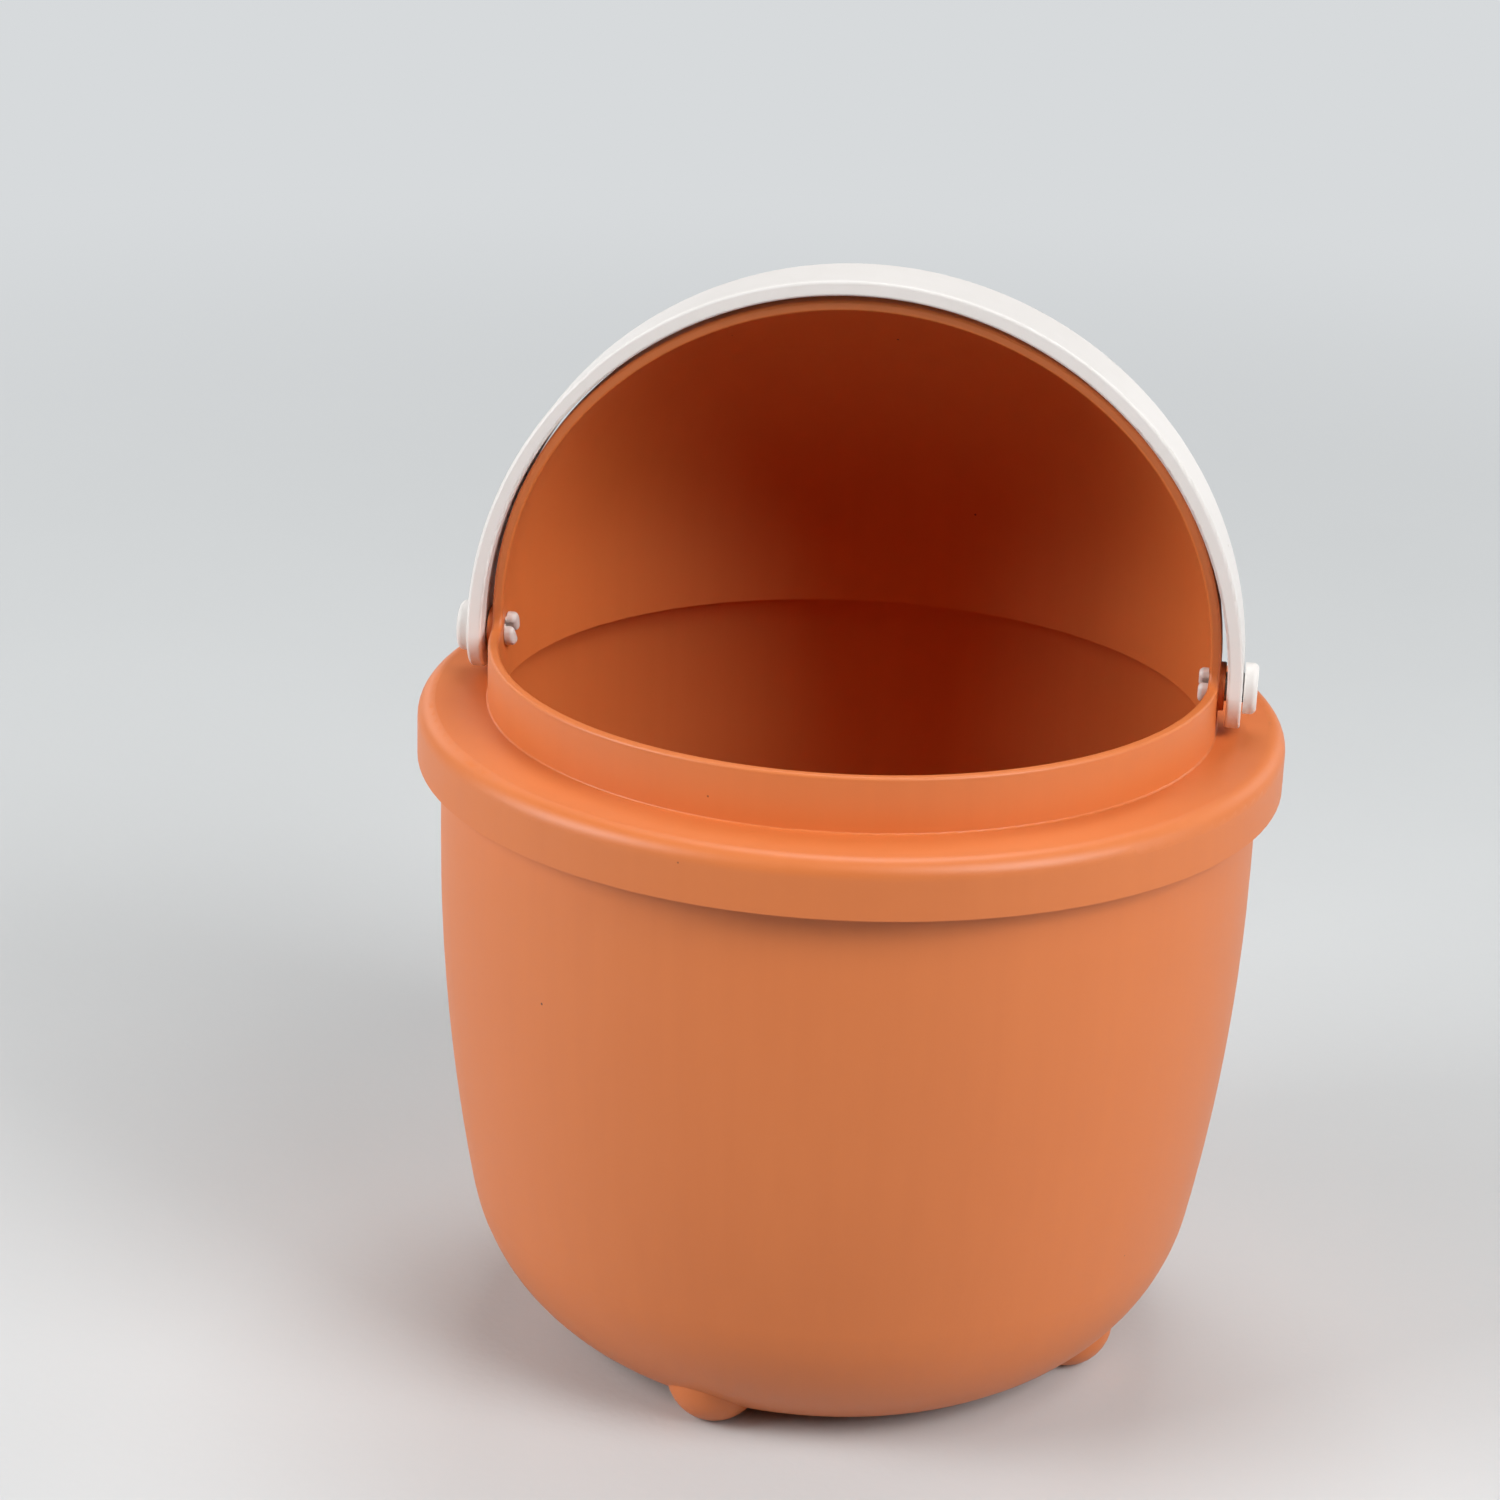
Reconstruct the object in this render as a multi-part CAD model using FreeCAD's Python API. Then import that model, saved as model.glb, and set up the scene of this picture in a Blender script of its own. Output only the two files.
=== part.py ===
import FreeCAD, Part
import math
import os

# Mini trash can: a bulging bucket on four domed feet, a lift-off lid whose hood domes over
# the back half of its mouth, and a strap handle that swings on two snap pins.
# Lengths in millimetres, angles in degrees. Z is up, the feet stand on Z = 0, the mouth faces -Y.

V = FreeCAD.Vector

# Bucket
rim_height = 115.3
rim_radius = 70.9
bucket_wall = 2.0
bow_radius = 355.5
bow_lean = 10.5
heel_radius = 36.1
heel_lean = 56.0
sole_radius = 9.6
rim_round = 0.6
bead_radius = 1.5
bead_drop = 4.0

# Feet
foot_count = 4
foot_turn = -16.5
foot_inset = 23.9
foot_radius = 8.35
foot_pad_radius = 2.7
foot_drop = 2.3

# Lid
lid_gap = 0.6
collar_height = 9.7
collar_wall = 2.0
collar_round = 3.0
shoulder_thickness = 1.5
shoulder_width = 12.0
neck_round = 0.3
hood_wall = 1.8
hood_rise = 4.05
side_inset = 6.0
crown_lean = 45.0
hood_reach = 4.0
lip_height = 9.5
corner_round = 2.5
mouth_round = 0.5
boss_radius = 4.2
boss_gap = 0.4
boss_round = 0.3

# Handle
strap_gap = 1.3
strap_rise = 0.5
strap_thickness = 2.6
strap_width = 14.0
strap_round = 0.5
strap_clear = 1.1

# Snap pins
shank_radius = 2.5
eye_play = 0.08
hole_play = 0.05
head_radius = 4.4
head_thickness = 2.3
head_round = 1.0
head_gap = 0.2
barb_catch = 0.45
barb_land = 0.8
barb_round = 0.85
barb_easing = 0.1
barb_gap = 0.2
slot_width = 0.8
slot_depth = 4.7
slot_tilt = 43.0

# Levels and radii that follow from the sizes above
shoulder_level = rim_height + shoulder_thickness
collar_level = shoulder_level - collar_height
lip_level = shoulder_level + lip_height
pivot_level = shoulder_level + strap_clear + strap_width / 2
foot_ring_radius = rim_radius - foot_inset
foot_centre_height = math.sqrt(foot_radius ** 2 - foot_pad_radius ** 2)
skirt_radius = rim_radius + bead_radius + lid_gap
collar_radius = skirt_radius + collar_wall
neck_radius = collar_radius - shoulder_width
mouth_radius = neck_radius - hood_wall
hood_level = pivot_level + hood_rise
barb_radius = shank_radius + barb_catch
barb_length = barb_land + barb_round
strap_inside = neck_radius + strap_gap
strap_outside = strap_inside + strap_thickness
pivot = V(0, 0, pivot_level)


def on_arc(centre, radius, lean):
    # Point of an outline arc where the outline leans inwards by this angle going down.
    turn = math.radians(lean)
    return V(centre.x + radius * math.cos(turn), 0, centre.z - radius * math.sin(turn))


def arc(centre, radius, lean_from, lean_to):
    middle = (lean_from + lean_to) / 2
    leans = (lean_from, middle, lean_to)
    return Part.Arc(*[on_arc(centre, radius, lean) for lean in leans]).toShape()


def lines(*points):
    return [Part.makeLine(a, b) for a, b in zip(points, points[1:])]


def spin(edges, axis):
    face = Part.Face(Part.Wire(Part.__sortEdges__(edges)))
    return face.revolve(V(0, 0, 0), axis, 360)


def bucket_centres():
    # Centres of the bow, heel and sole arcs, each tangent to the next, stacked up from the bottom.
    lean = math.radians(heel_lean)
    bow = math.radians(bow_lean)
    sole_step = heel_radius - sole_radius
    heel_step = bow_radius - heel_radius
    sole_z = foot_drop + sole_radius
    heel_z = sole_z + sole_step * math.sin(lean)
    bow_z = heel_z + heel_step * math.sin(bow)
    bow_x = rim_radius - bow_radius
    heel_x = bow_x + heel_step * math.cos(bow)
    sole_x = heel_x + sole_step * math.cos(lean)
    return V(bow_x, 0, bow_z), V(heel_x, 0, heel_z), V(sole_x, 0, sole_z)


def bucket_form(inset):
    # Solid inside the bucket's outline drawn this far inside its outer skin.
    bow, heel, sole = bucket_centres()
    curves = [
        arc(bow, bow_radius - inset, 0, bow_lean),
        arc(heel, heel_radius - inset, bow_lean, heel_lean),
        arc(sole, sole_radius - inset, heel_lean, 90),
    ]
    wall = on_arc(bow, bow_radius - inset, 0)
    flat = on_arc(sole, sole_radius - inset, 90)
    rest = lines(flat, V(0, 0, flat.z), V(0, 0, rim_height), V(wall.x, 0, rim_height), wall)
    return spin(curves + rest, V(0, 0, 1))


def feet():
    ground = Part.makeCylinder(rim_radius, foot_radius, V(0, 0, -foot_radius))
    ball = Part.makeSphere(foot_radius, V(0, -foot_ring_radius, foot_centre_height)).cut(ground)
    turns = [foot_turn + 360 * index / foot_count for index in range(foot_count)]
    return [ball.rotated(V(0, 0, 0), V(0, 0, 1), turn) for turn in turns]


def bucket():
    bead = Part.makeTorus(rim_radius, bead_radius, V(0, 0, rim_height - bead_drop))
    shell = bucket_form(0).fuse([bead] + feet()).cut(bucket_form(bucket_wall))
    rim = [edge for edge in shell.Edges if edge.BoundBox.ZMin > rim_height - rim_round]
    return shell.makeFillet(rim_round, rim)


def hood_centres():
    # Centres of the hood's side arc and of the flatter crown arc tangent to it, and the crown's radius.
    lean = math.radians(crown_lean)
    reach = side_inset / math.cos(lean)
    side = V(side_inset, 0, hood_level)
    crown = V(0, 0, hood_level - reach * math.sin(lean))
    return side, crown, neck_radius - side_inset + reach


def lid_form():
    # Collar, shoulder, neck and a whole dome, spun from one outline.
    side, crown, crown_radius = hood_centres()
    side_radius = neck_radius - side_inset
    crown_level = crown.z + crown_radius
    skirt_round = collar_round - collar_wall
    collar_centre = V(collar_radius - collar_round, 0, shoulder_level - collar_round)
    neck_centre = V(neck_radius + neck_round, 0, shoulder_level + neck_round)
    skirt_centre = V(skirt_radius - skirt_round, 0, rim_height - skirt_round)
    curves = [
        arc(collar_centre, collar_round, 0, -90),
        arc(neck_centre, neck_round, 90, 180),
        arc(side, side_radius, 0, -crown_lean),
        arc(crown, crown_radius, -crown_lean, -90),
        arc(side, side_radius - hood_wall, 0, -crown_lean),
        arc(crown, crown_radius - hood_wall, -crown_lean, -90),
        arc(skirt_centre, skirt_round, 0, -90),
    ]
    edges = lines(
        V(skirt_radius, 0, skirt_centre.z),
        V(skirt_radius, 0, collar_level),
        V(collar_radius, 0, collar_level),
        V(collar_radius, 0, collar_centre.z),
    )
    edges += lines(V(collar_centre.x, 0, shoulder_level), V(neck_centre.x, 0, shoulder_level))
    edges += lines(V(neck_radius, 0, neck_centre.z), V(neck_radius, 0, hood_level))
    edges += lines(V(0, 0, crown_level), V(0, 0, crown_level - hood_wall))
    edges += lines(
        V(mouth_radius, 0, hood_level),
        V(mouth_radius, 0, rim_height),
        V(skirt_centre.x, 0, rim_height),
    )
    return spin(curves + edges, V(0, 0, 1))


def mouth():
    # Block cut from the front of the dome; its rounded corner leaves a fillet above the lip.
    front = -collar_radius
    top = pivot_level + collar_radius
    swing = math.radians(45)
    middle_y = -hood_reach - corner_round + corner_round * math.cos(swing)
    middle_z = lip_level + corner_round - corner_round * math.sin(swing)
    start = V(front, -hood_reach, lip_level + corner_round)
    end = V(front, -hood_reach - corner_round, lip_level)
    corner = Part.Arc(start, V(front, middle_y, middle_z), end).toShape()
    rest = lines(
        end,
        V(front, front, lip_level),
        V(front, front, top),
        V(front, -hood_reach, top),
        start,
    )
    face = Part.Face(Part.Wire([corner] + rest))
    return face.extrude(V(collar_radius - front, 0, 0))


def on_mouth(edge):
    # True for an edge along the cut front of the hood, the lip's top or the fillet between them.
    ends = [edge.valueAt(edge.FirstParameter), edge.valueAt(edge.LastParameter)]
    inside = [end.z > lip_level - mouth_round and end.y < mouth_round - hood_reach for end in ends]
    return all(inside)


def crosses_wall(edge):
    return edge.Length < hood_wall + mouth_round


def boss():
    # Round seat on the outside of the right wall that holds the strap off the hood.
    root = (neck_radius + mouth_radius) / 2
    end = strap_inside - boss_gap
    seat = Part.makeCylinder(boss_radius, end - root, V(root, 0, pivot_level), V(1, 0, 0))
    rim = [edge for edge in seat.Edges if edge.BoundBox.XMin > end - boss_round]
    return seat.makeFillet(boss_round, rim)


def lid():
    open_form = lid_form().cut(mouth())
    rims = [edge for edge in open_form.Edges if on_mouth(edge) and not crosses_wall(edge)]
    seat = boss()
    seats = [seat, seat.mirror(V(0, 0, 0), V(1, 0, 0))]
    rounded = open_form.makeFillet(mouth_round, rims).fuse(seats)
    return rounded.cut(pin_bore(shank_radius + hole_play))


def pin_bore(radius):
    # Bore along the pivot axis, long enough to pass through both sides.
    start = V(-collar_radius, 0, pivot_level)
    return Part.makeCylinder(radius, collar_radius + collar_radius, start, V(1, 0, 0))


def strap_leg(x):
    # Flat end of the strap: straight down from the arch, closed by a half disc about the pivot.
    half = strap_width / 2
    front = V(x, -half, pivot_level)
    back = V(x, half, pivot_level)
    bow = Part.Arc(front, V(x, 0, pivot_level - half), back).toShape()
    rise = V(0, 0, strap_rise)
    sides = lines(back, back + rise, front + rise, front)
    return Part.Face(Part.Wire([bow] + sides)).extrude(V(strap_thickness, 0, 0))


def strap_arch():
    # Half ring over the hood, drawn in its middle plane and carried to both edges of the strap.
    centre = V(0, 0, pivot_level + strap_rise)
    outer = arc(centre, strap_outside, 0, -180)
    inner = arc(centre, strap_inside, 0, -180)
    ends = lines(V(strap_inside, 0, centre.z), V(strap_outside, 0, centre.z))
    ends += lines(V(-strap_inside, 0, centre.z), V(-strap_outside, 0, centre.z))
    face = Part.Face(Part.Wire(Part.__sortEdges__([outer, inner] + ends)))
    return face.translated(V(0, -strap_width / 2, 0)).extrude(V(0, strap_width, 0))


def handle():
    legs = [strap_leg(strap_inside), strap_leg(-strap_outside)]
    strap = strap_arch().fuse(legs).removeSplitter()
    return strap.makeFillet(strap_round, strap.Edges).cut(pin_bore(shank_radius + eye_play))


def pin_head():
    # Head and shank spun about the X axis, the head outwards; the shank stops at the barbs.
    inner = strap_outside + head_gap
    outer = inner + head_thickness
    barb_face = mouth_radius - barb_gap
    centre = V(outer - head_round, 0, head_radius - head_round)
    edges = [arc(centre, head_round, 0, -90)]
    edges += lines(
        V(centre.x, 0, head_radius),
        V(inner, 0, head_radius),
        V(inner, 0, shank_radius),
        V(barb_face, 0, shank_radius),
        V(barb_face, 0, 0),
        V(outer, 0, 0),
        V(outer, 0, centre.z),
    )
    return spin(edges, V(1, 0, 0))


def barb():
    # Rounded end of the upper prong: half a disc with eased corners and a domed tip.
    tip = mouth_radius - barb_gap - barb_length
    disc = Part.makeCylinder(barb_radius, barb_length, V(tip, 0, 0), V(1, 0, 0))
    below = V(tip, -barb_radius, -barb_radius)
    half = disc.cut(Part.makeBox(barb_length, 2 * barb_radius, barb_radius + slot_width / 2, below))
    corners = [edge for edge in half.Edges if edge.BoundBox.XLength > barb_land]
    eased = half.makeFillet(barb_round + barb_easing, corners)
    rims = [edge for edge in eased.Edges if edge.BoundBox.XMax < tip + barb_land]
    return eased.makeFillet(barb_round, rims)


def pin_right():
    # A slot parts the shank's end into an upper and a lower prong with a barb each, turned a little.
    tip = mouth_radius - barb_gap - barb_length
    corner = V(tip, -barb_radius, -slot_width / 2)
    slot = Part.makeBox(slot_depth, 2 * barb_radius, slot_width, corner)
    upper = barb()
    lower = upper.mirror(V(0, 0, 0), V(0, 0, 1))
    pin = pin_head().cut(slot).fuse([upper, lower])
    return pin.rotated(V(0, 0, 0), V(1, 0, 0), -slot_tilt).translated(pivot)


def pin_left():
    return pin_right().mirror(V(0, 0, 0), V(1, 0, 0))


os.makedirs("parts", exist_ok=True)
bucket().exportStep("parts/bucket.step")
lid().exportStep("parts/lid.step")
handle().exportStep("parts/handle.step")
pin_left().exportStep("parts/pin_left.step")
pin_right().exportStep("parts/pin_right.step")
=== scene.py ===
# %% [markdown]
# A small table bin, dressed for its picture
# The bin is five mouldings. An orange bucket stands on four domed feet, an orange lid
# with a hood and a round mouth sits on its rim, and a white carrying strap swings on two
# white split pins. All five shapes come finished from the CAD model, down to the rounded
# edges, so they stay as they are. What is left for Blender is what the mould and the
# pigment add: colour, gloss, grain and flow marks, and then the floor, light and camera.

# %% Load the five mouldings
import math

import bpy
from mathutils import Matrix, Vector


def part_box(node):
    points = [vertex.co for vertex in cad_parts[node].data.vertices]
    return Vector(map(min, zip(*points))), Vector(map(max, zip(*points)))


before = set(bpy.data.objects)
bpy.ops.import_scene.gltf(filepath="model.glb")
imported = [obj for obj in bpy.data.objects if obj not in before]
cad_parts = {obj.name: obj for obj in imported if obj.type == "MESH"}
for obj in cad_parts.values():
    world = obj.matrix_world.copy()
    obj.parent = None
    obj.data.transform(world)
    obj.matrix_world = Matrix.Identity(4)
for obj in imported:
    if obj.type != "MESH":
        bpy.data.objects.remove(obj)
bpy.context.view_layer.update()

MM = 0.001

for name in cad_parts:
    low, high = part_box(name)
    print(name, "measures", [round((b - a) / MM, 1) for a, b in zip(low, high)], "mm")

# %% [markdown]
# Three small helpers
# Colours are easiest to compare with a photograph as sRGB hex values, but Blender's
# shaders work in linear light, so one function converts them. A second gives a texture's
# scale: Object coordinates are in metres, so a pattern of a given size in millimetres needs
# a thousand divided by that size. A third adds a node, sets it and links it in one call,
# which keeps each finish readable as a recipe.

# %% Colour, pattern size and node helpers
def paint(code):
    """An sRGB hex colour as the linear values that a shader takes."""
    # The numbers are those of the sRGB standard.
    parts = (int(code[i:i + 2], 16) / 255 for i in (1, 3, 5))
    linear = (c / 12.92 if c <= 0.04045 else ((c + 0.055) / 1.055) ** 2.4 for c in parts)
    return (*linear, 1.0)


def per_size(size_mm):
    """The texture scale at which a pattern repeats about every size_mm millimetres."""
    return 1 / (size_mm * MM)


def add(tree, kind, sockets=None, **settings):
    """One node with its settings; each socket gets a value or the output that feeds it."""
    made = tree.nodes.new(kind)
    for setting, value in settings.items():
        setattr(made, setting, value)
    for socket, value in (sockets or {}).items():
        if isinstance(value, bpy.types.NodeSocket):
            tree.links.new(value, made.inputs[socket])
        else:
            made.inputs[socket].default_value = value
    return made


print("mid grey in linear light:", round(paint("#808080")[0], 3))

# %% [markdown]
# Moulded polypropylene
# All five pieces are polypropylene, coloured in the melt and injection moulded against
# finely spark-eroded steel. The eye sees four things: a satin gloss that is broad and soft,
# a grain of a few hundredths of a millimetre, faint streaks where the melt flowed up the
# wall, and here and there a dark speck of burnt pigment. Image textures could hold these,
# but noise on Object coordinates needs no unwrapping, has no seams and keeps its real
# size on every piece. Each kind of mark gets a short function of its own, and one more
# puts them together for any colour.

# %% Flow marks
STREAK_MM = 3.5
STREAK_LENGTH_MM = 70.0
CLOUD_MM = 38.0
CLOUD_SHARE = 0.5
NOISE_LOW, NOISE_HIGH = 0.3, 0.7


def flow_marks(tree, place):
    """Long faint streaks mixed with broad clouds, from 0 to 1."""
    # The melt rises from the gate, so the streaks are long along Z and narrow across it.
    drawn = add(tree, "ShaderNodeMapping", {
        "Vector": place, "Scale": (1, 1, STREAK_MM / STREAK_LENGTH_MM)}).outputs["Vector"]
    streak = add(tree, "ShaderNodeTexNoise", {
        "Vector": drawn, "Scale": per_size(STREAK_MM), "Detail": 2.0}).outputs["Fac"]
    cloud = add(tree, "ShaderNodeTexNoise", {
        "Vector": place, "Scale": per_size(CLOUD_MM), "Detail": 1.0}).outputs["Fac"]
    flow = add(tree, "ShaderNodeMix", {
        "Factor": CLOUD_SHARE, "A": streak, "B": cloud}, data_type="FLOAT").outputs["Result"]
    # Noise seldom leaves the middle of its range, so the middle is stretched to the whole.
    return add(tree, "ShaderNodeMapRange", {
        "Value": flow, "From Min": NOISE_LOW, "From Max": NOISE_HIGH}).outputs["Result"]


print("streaks", STREAK_MM, "mm wide and about", STREAK_LENGTH_MM, "mm long")

# %% Specks of burnt pigment
SPECK_SPACING_MM = 12.0
SPECK_RADIUS_MM = 0.28
SPECK_CORE_SHARE = 0.5


def burnt_specks(tree, place):
    """1 in the dark core of a speck and 0 beyond its edge."""
    # Each cell of the pattern has one point, and a speck shows where the skin cuts through it.
    distance = add(tree, "ShaderNodeTexVoronoi", {
        "Vector": place, "Scale": per_size(SPECK_SPACING_MM)}).outputs["Distance"]
    edge = SPECK_RADIUS_MM / SPECK_SPACING_MM
    return add(tree, "ShaderNodeMapRange", {
        "Value": distance, "From Min": edge * SPECK_CORE_SHARE, "From Max": edge,
        "To Min": 1.0, "To Max": 0.0}).outputs["Result"]


print("specks up to", 2 * SPECK_RADIUS_MM, "mm wide")

# %% Grain of the mould
GRAIN_MM = 0.45


def mould_grain(tree, place, depth_mm):
    """The tooth that spark-eroded steel leaves in the skin, as a normal."""
    # The real grain is too fine to show, so it is drawn about ten times as coarse as it is.
    grain = add(tree, "ShaderNodeTexNoise", {
        "Vector": place, "Scale": per_size(GRAIN_MM), "Detail": 2.0}).outputs["Fac"]
    return add(tree, "ShaderNodeBump", {
        "Height": grain, "Strength": 1.0, "Distance": depth_mm * MM}).outputs["Normal"]


print("grain drawn", GRAIN_MM, "mm wide")

# %% The finish, as a recipe for any colour
# Polypropylene itself has about 1.49. A little more matches the sheen in the photograph.
POLYPROPYLENE_IOR = 1.55


def moulded_polypropylene(name, body, streaks, speck, gloss, grain_depth_mm):
    """Satin polypropylene: body and streak colours, speck colour, roughness range, grain depth."""
    material = bpy.data.materials.new(name)
    material.use_nodes = True
    tree = material.node_tree
    place = add(tree, "ShaderNodeTexCoord").outputs["Object"]

    flow = flow_marks(tree, place)
    tint = add(tree, "ShaderNodeMix", {
        "Factor": flow, "A": paint(body), "B": paint(streaks)}, data_type="RGBA").outputs["Result"]
    colour = add(tree, "ShaderNodeMix", {
        "Factor": burnt_specks(tree, place), "A": tint, "B": paint(speck)},
        data_type="RGBA").outputs["Result"]
    # A streak is also a little glossier or duller than the skin beside it.
    satin = add(tree, "ShaderNodeMapRange", {
        "Value": flow, "To Min": gloss[0], "To Max": gloss[1]}).outputs["Result"]

    shader = tree.nodes["Principled BSDF"]
    shader.inputs["IOR"].default_value = POLYPROPYLENE_IOR
    tree.links.new(colour, shader.inputs["Base Color"])
    tree.links.new(satin, shader.inputs["Roughness"])
    tree.links.new(mould_grain(tree, place, grain_depth_mm), shader.inputs["Normal"])
    print(name, "made with", len(tree.nodes), "nodes")
    return material


def dress(names, finish):
    """Put one finish on every material slot of the named pieces."""
    for name in names:
        for material_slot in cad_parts[name].material_slots:
            material_slot.material = finish
        print(name, "wears", finish.name)


print("refractive index", POLYPROPYLENE_IOR)

# %% [markdown]
# Orange for the bucket and the lid
# The two big pieces come from one pigment batch. The photograph shows a soft
# earthy orange that goes deep red where the light bounces from wall to wall inside the
# hood. That shift needs no second colour: a strongly coloured wall reddens the light on
# each bounce, as long as the written colour is as saturated as the real one.

# %% Orange polypropylene on the bucket and the lid
orange = moulded_polypropylene(
    "orange_moulded_polypropylene", body="#DD7A3E", streaks="#E17E41", speck="#5A2A14",
    gloss=(0.42, 0.47), grain_depth_mm=0.012)
dress(("bucket", "lid"), orange)

# %% [markdown]
# White for the strap and the pins
# The strap and its two pins are the same plastic with a warm white pigment. White hides
# flow marks, so its two colours lie very close together. Its grain is finer than the orange's
# and its gloss a little duller.

# %% White polypropylene on the strap and the pins
white = moulded_polypropylene(
    "white_moulded_polypropylene", body="#E9E5E1", streaks="#ECE8E5", speck="#A89C90",
    gloss=(0.46, 0.52), grain_depth_mm=0.008)
dress(("handle", "pin_left", "pin_right"), white)

# %% [markdown]
# A plain pale floor
# The bin stands on a pale sheet. Near the bin the sheet is lit as any surface is, so it holds
# the bin's shadow, and further out it passes into the even tone of a studio backdrop. A pale
# floor would also throw much light up at the bucket, which the photograph doesn't show, so
# the sheet is pale for the eye and for the gloss, and mid grey for the light that bounces.

# %% Which rays see the pale floor
def seen_by_eye_or_gloss(tree):
    """1 for a ray of the camera, of a mirror or of glass, and 0 for light that bounces."""
    rays = add(tree, "ShaderNodeLightPath").outputs
    mirrored = add(tree, "ShaderNodeMath", {
        0: rays["Is Glossy Ray"], 1: rays["Is Transmission Ray"]}, operation="MAXIMUM").outputs[0]
    return add(tree, "ShaderNodeMath", {
        0: rays["Is Camera Ray"], 1: mirrored}, operation="MAXIMUM").outputs[0]


print("rays are told apart by the light path")

# %% The floor sheet
FLOOR_SIZE = 12.0

bpy.ops.object.select_all(action="DESELECT")
bpy.ops.mesh.primitive_plane_add(size=FLOOR_SIZE, location=(0, 0, 0))
floor = bpy.context.object
floor.name = "floor_sheet"
sheet = bpy.data.materials.new("pale_painted_floor")
sheet.use_nodes = True
floor.data.materials.append(sheet)
print("floor", FLOOR_SIZE, "m wide")

# %% Paint on the floor
FLOOR_PAINT, FLOOR_CLOUDS = "#CFD2D3", "#D5D8D9"
FLOOR_FOR_BOUNCE = "#B0B0B0"
FLOOR_CLOUD_MM = 160.0
FLOOR_TOOTH_MM = 2.0
FLOOR_TOOTH_DEPTH_MM = 0.05
FLOOR_ROUGHNESS = 0.7

floor_tree = sheet.node_tree
floor_place = add(floor_tree, "ShaderNodeTexCoord").outputs["Object"]
floor_seen = seen_by_eye_or_gloss(floor_tree)
floor_cloud = add(floor_tree, "ShaderNodeTexNoise", {
    "Vector": floor_place, "Scale": per_size(FLOOR_CLOUD_MM), "Detail": 3.0}).outputs["Fac"]
floor_tint = add(floor_tree, "ShaderNodeMix", {
    "Factor": floor_cloud, "A": paint(FLOOR_PAINT), "B": paint(FLOOR_CLOUDS)},
    data_type="RGBA").outputs["Result"]
floor_colour = add(floor_tree, "ShaderNodeMix", {
    "Factor": floor_seen, "A": paint(FLOOR_FOR_BOUNCE), "B": floor_tint},
    data_type="RGBA").outputs["Result"]
floor_tooth = add(floor_tree, "ShaderNodeTexNoise", {
    "Vector": floor_place, "Scale": per_size(FLOOR_TOOTH_MM), "Detail": 2.0}).outputs["Fac"]
floor_bump = add(floor_tree, "ShaderNodeBump", {
    "Height": floor_tooth, "Distance": FLOOR_TOOTH_DEPTH_MM * MM}).outputs["Normal"]
floor_shader = floor_tree.nodes["Principled BSDF"]
floor_shader.inputs["Roughness"].default_value = FLOOR_ROUGHNESS
floor_tree.links.new(floor_colour, floor_shader.inputs["Base Color"])
floor_tree.links.new(floor_bump, floor_shader.inputs["Normal"])
print("floor paint made with", len(floor_tree.nodes), "nodes")

# %% The floor passes into the backdrop
FADE_START, FADE_END = 0.25, 1.0
BACKDROP = "#D7DADC"

reach = add(floor_tree, "ShaderNodeVectorMath", {0: floor_place}, operation="LENGTH").outputs["Value"]
far = add(floor_tree, "ShaderNodeMapRange", {
    "Value": reach, "From Min": FADE_START, "From Max": FADE_END},
    interpolation_type="SMOOTHSTEP").outputs["Result"]
fade = add(floor_tree, "ShaderNodeMath", {0: far, 1: floor_seen}, operation="MULTIPLY").outputs[0]
even_tone = add(floor_tree, "ShaderNodeEmission", {"Color": paint(BACKDROP)}).outputs["Emission"]
floor_look = add(floor_tree, "ShaderNodeMixShader", {
    0: fade, 1: floor_shader.outputs["BSDF"], 2: even_tone}).outputs["Shader"]
floor_tree.links.new(floor_look, floor_tree.nodes["Material Output"].inputs["Surface"])
print("floor fades between", FADE_START, "and", FADE_END, "m from the bin")

# %% [markdown]
# Soft boxes left, right and behind
# The photograph shows where its lamps stood. The wall is brightest on the right, a little
# less so on the left and darkest in the middle. The light reaches over the lip and down both
# sides of the inside, while the middle of the hood stays almost dark. So the main soft box of
# each side stands well round from the front, lower ones light the edges of the bucket, and
# high ones on the right and behind brighten the shoulder and the strap. Two dim ones stand
# behind at the sides for the back of the bin. Straight behind, one at that height would be
# mirrored by the flat shoulder into the camera, as a grey veil. Nothing shines from straight
# ahead.

# %% Eight soft boxes
AIM = Vector((0, 0, 0.1))
LAMP_DISTANCE = 1.3
LAMP_SIZE = 0.6


def soft_box(name, azimuth, elevation, watts):
    """A square lamp aimed at the bin; azimuth turns from the front towards the right."""
    turn, rise = math.radians(azimuth), math.radians(elevation)
    level = math.cos(rise)
    towards = Vector((math.sin(turn) * level, -math.cos(turn) * level, math.sin(rise)))
    bpy.ops.object.light_add(type="AREA", location=AIM + towards * LAMP_DISTANCE)
    lamp = bpy.context.object
    lamp.name = name
    lamp.data.shape = "SQUARE"
    lamp.data.size = LAMP_SIZE
    lamp.data.energy = watts
    lamp.rotation_euler = towards.to_track_quat("Z", "Y").to_euler()
    print(name, "at", [round(c, 2) for c in lamp.location], "m,", watts, "W")


soft_box("right_soft_box", azimuth=60, elevation=32, watts=10.1)
soft_box("right_high_box", azimuth=45, elevation=50, watts=4.1)
soft_box("right_low_box", azimuth=90, elevation=15, watts=1.6)
soft_box("left_soft_box", azimuth=-60, elevation=32, watts=7.7)
soft_box("left_low_box", azimuth=-75, elevation=15, watts=5.2)
soft_box("back_high_box", azimuth=180, elevation=66, watts=5.8)
soft_box("back_right_box", azimuth=140, elevation=20, watts=1.9)
soft_box("back_left_box", azimuth=-140, elevation=20, watts=1.9)

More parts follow.
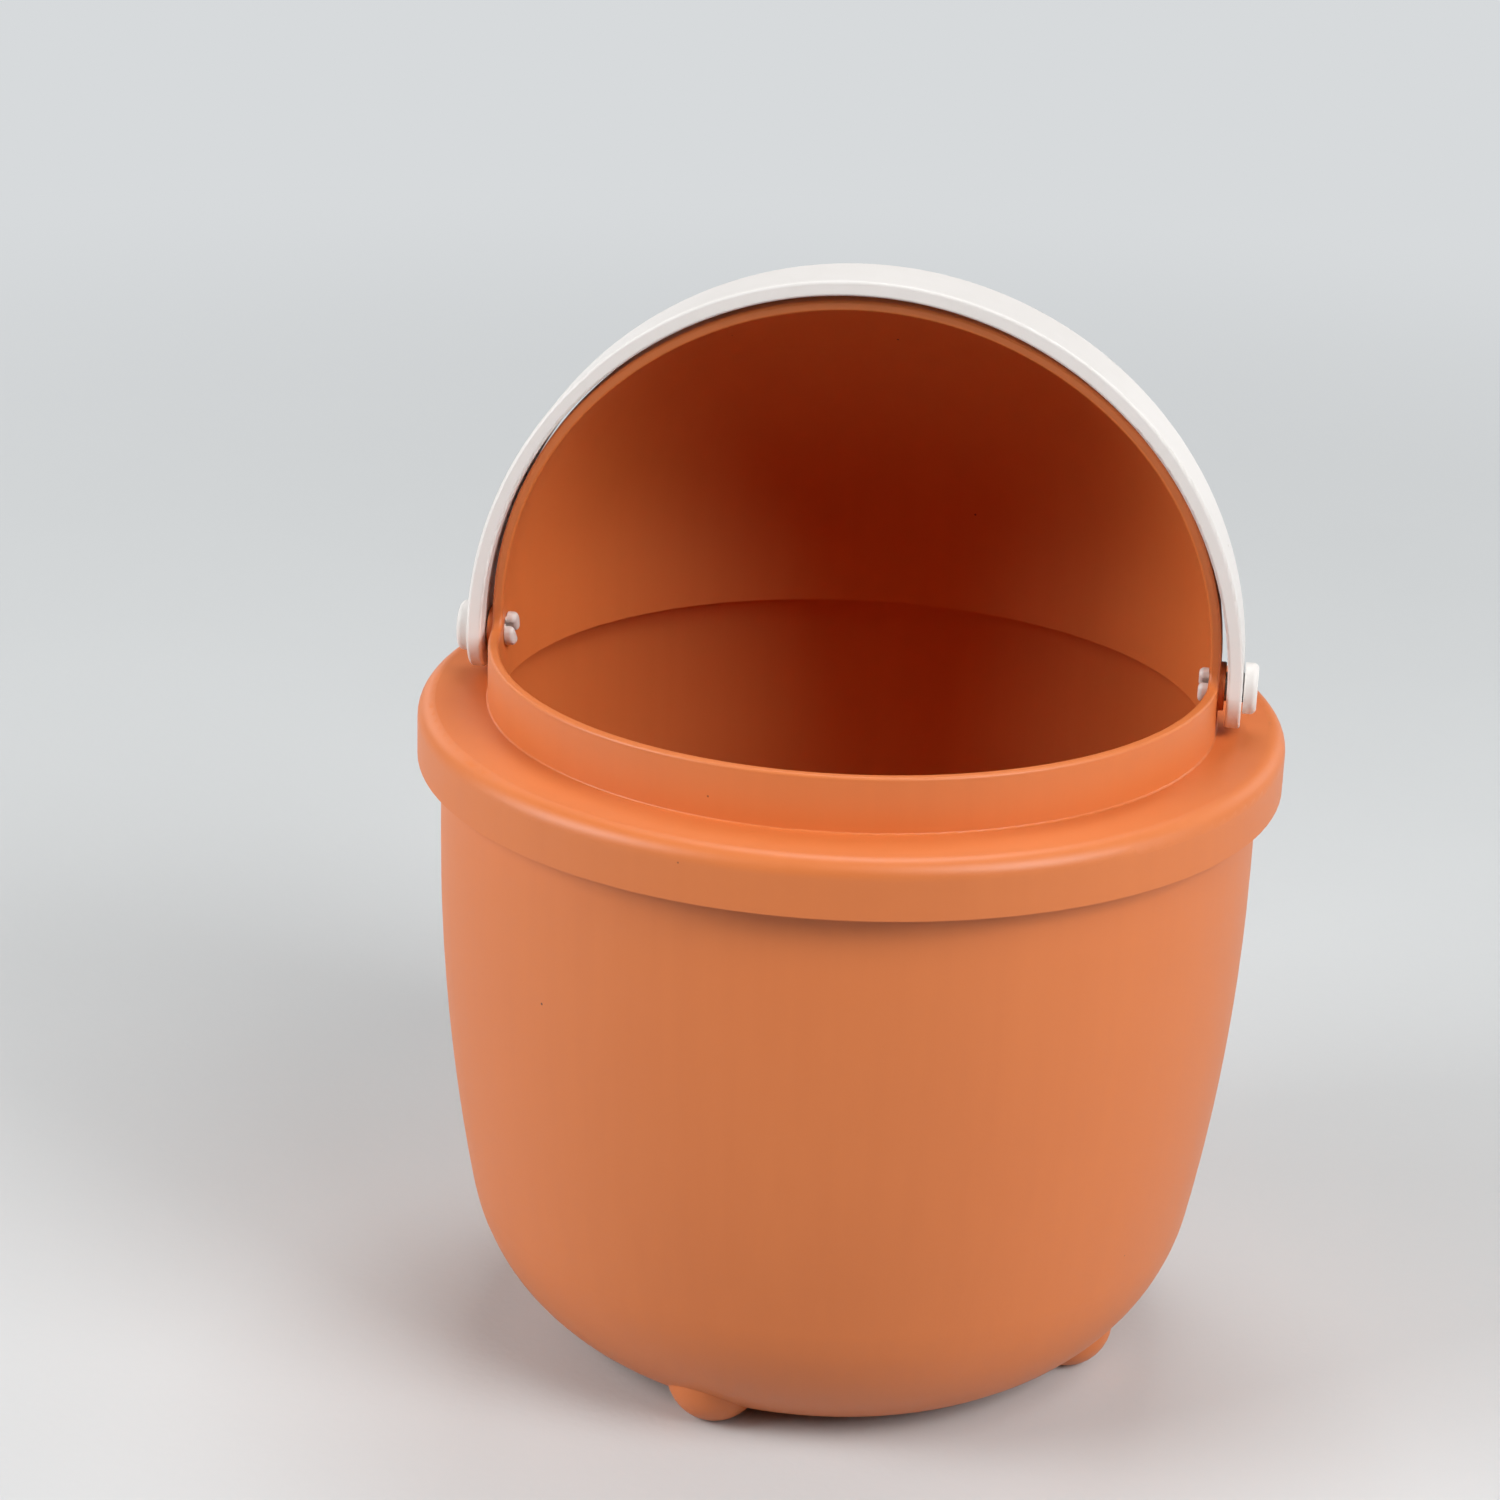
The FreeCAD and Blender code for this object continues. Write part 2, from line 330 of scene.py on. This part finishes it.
# %% [markdown]
# The room around the bin
# The eye sees a pale backdrop above the floor. The gloss sees a dim room, dark in front and
# a little lighter behind, because a bright one would lay a grey veil over the shoulder and
# bleach the top of the strap. The whitish sheen along both sides of the bucket comes from
# the pale floor. Bounced light gets almost nothing from the room: the lamps do that work.

# %% A pale backdrop for the eye, a dim room for the gloss
ROOM_IN_FRONT, ROOM_BEHIND = "#1E1E1E", "#5A5A5A"
ROOM_FOR_BOUNCE = "#1C1C1C"
STEP_START, STEP_END = -0.2, 0.6

world = bpy.data.worlds.new("studio_room")
bpy.context.scene.world = world
world.use_nodes = True
room = world.node_tree
direction = add(room, "ShaderNodeTexCoord").outputs["Generated"]
depth = add(room, "ShaderNodeSeparateXYZ", {"Vector": direction}).outputs["Y"]
behind = add(room, "ShaderNodeMapRange", {
    "Value": depth, "From Min": STEP_START, "From Max": STEP_END}).outputs["Result"]
mirrored_room = add(room, "ShaderNodeMix", {
    "Factor": behind, "A": paint(ROOM_IN_FRONT), "B": paint(ROOM_BEHIND)},
    data_type="RGBA").outputs["Result"]
felt_room = add(room, "ShaderNodeMix", {
    "Factor": seen_by_eye_or_gloss(room), "A": paint(ROOM_FOR_BOUNCE), "B": mirrored_room},
    data_type="RGBA").outputs["Result"]
eye = add(room, "ShaderNodeLightPath").outputs["Is Camera Ray"]
shown_room = add(room, "ShaderNodeMix", {
    "Factor": eye, "A": felt_room, "B": paint(BACKDROP)}, data_type="RGBA").outputs["Result"]
room.links.new(shown_room, room.nodes["Background"].inputs["Color"])
print("world has", len(room.nodes), "nodes")

# %% [markdown]
# The camera
# The picture was taken from a little right of the front and about twenty degrees above,
# with a short telephoto lens, and it was then turned by two degrees. The place and aim
# were worked out from the bin's rim and collar in the photograph, so the round shapes
# have the same openness here as there.

# %% Camera at the photograph's angle
CAMERA_PLACE = Vector((0.06568, -0.58554, 0.32564))
CAMERA_AIM = Vector((-0.01745, 0.0, 0.10600))
CAMERA_ROLL = math.radians(2.04)
LENS_MM = 86.4
SENSOR_MM = 36.0

bpy.ops.object.camera_add(location=CAMERA_PLACE)
camera = bpy.context.object
camera.name = "picture_camera"
level_view = (CAMERA_AIM - CAMERA_PLACE).to_track_quat("-Z", "Y").to_matrix()
camera.rotation_euler = (level_view @ Matrix.Rotation(CAMERA_ROLL, 3, "Z")).to_euler()
camera.data.lens = LENS_MM
camera.data.sensor_width = SENSOR_MM
bpy.context.scene.camera = camera
bpy.context.scene.view_settings.view_transform = "Standard"
print("camera", round((CAMERA_AIM - CAMERA_PLACE).length, 3), "m from its aim")
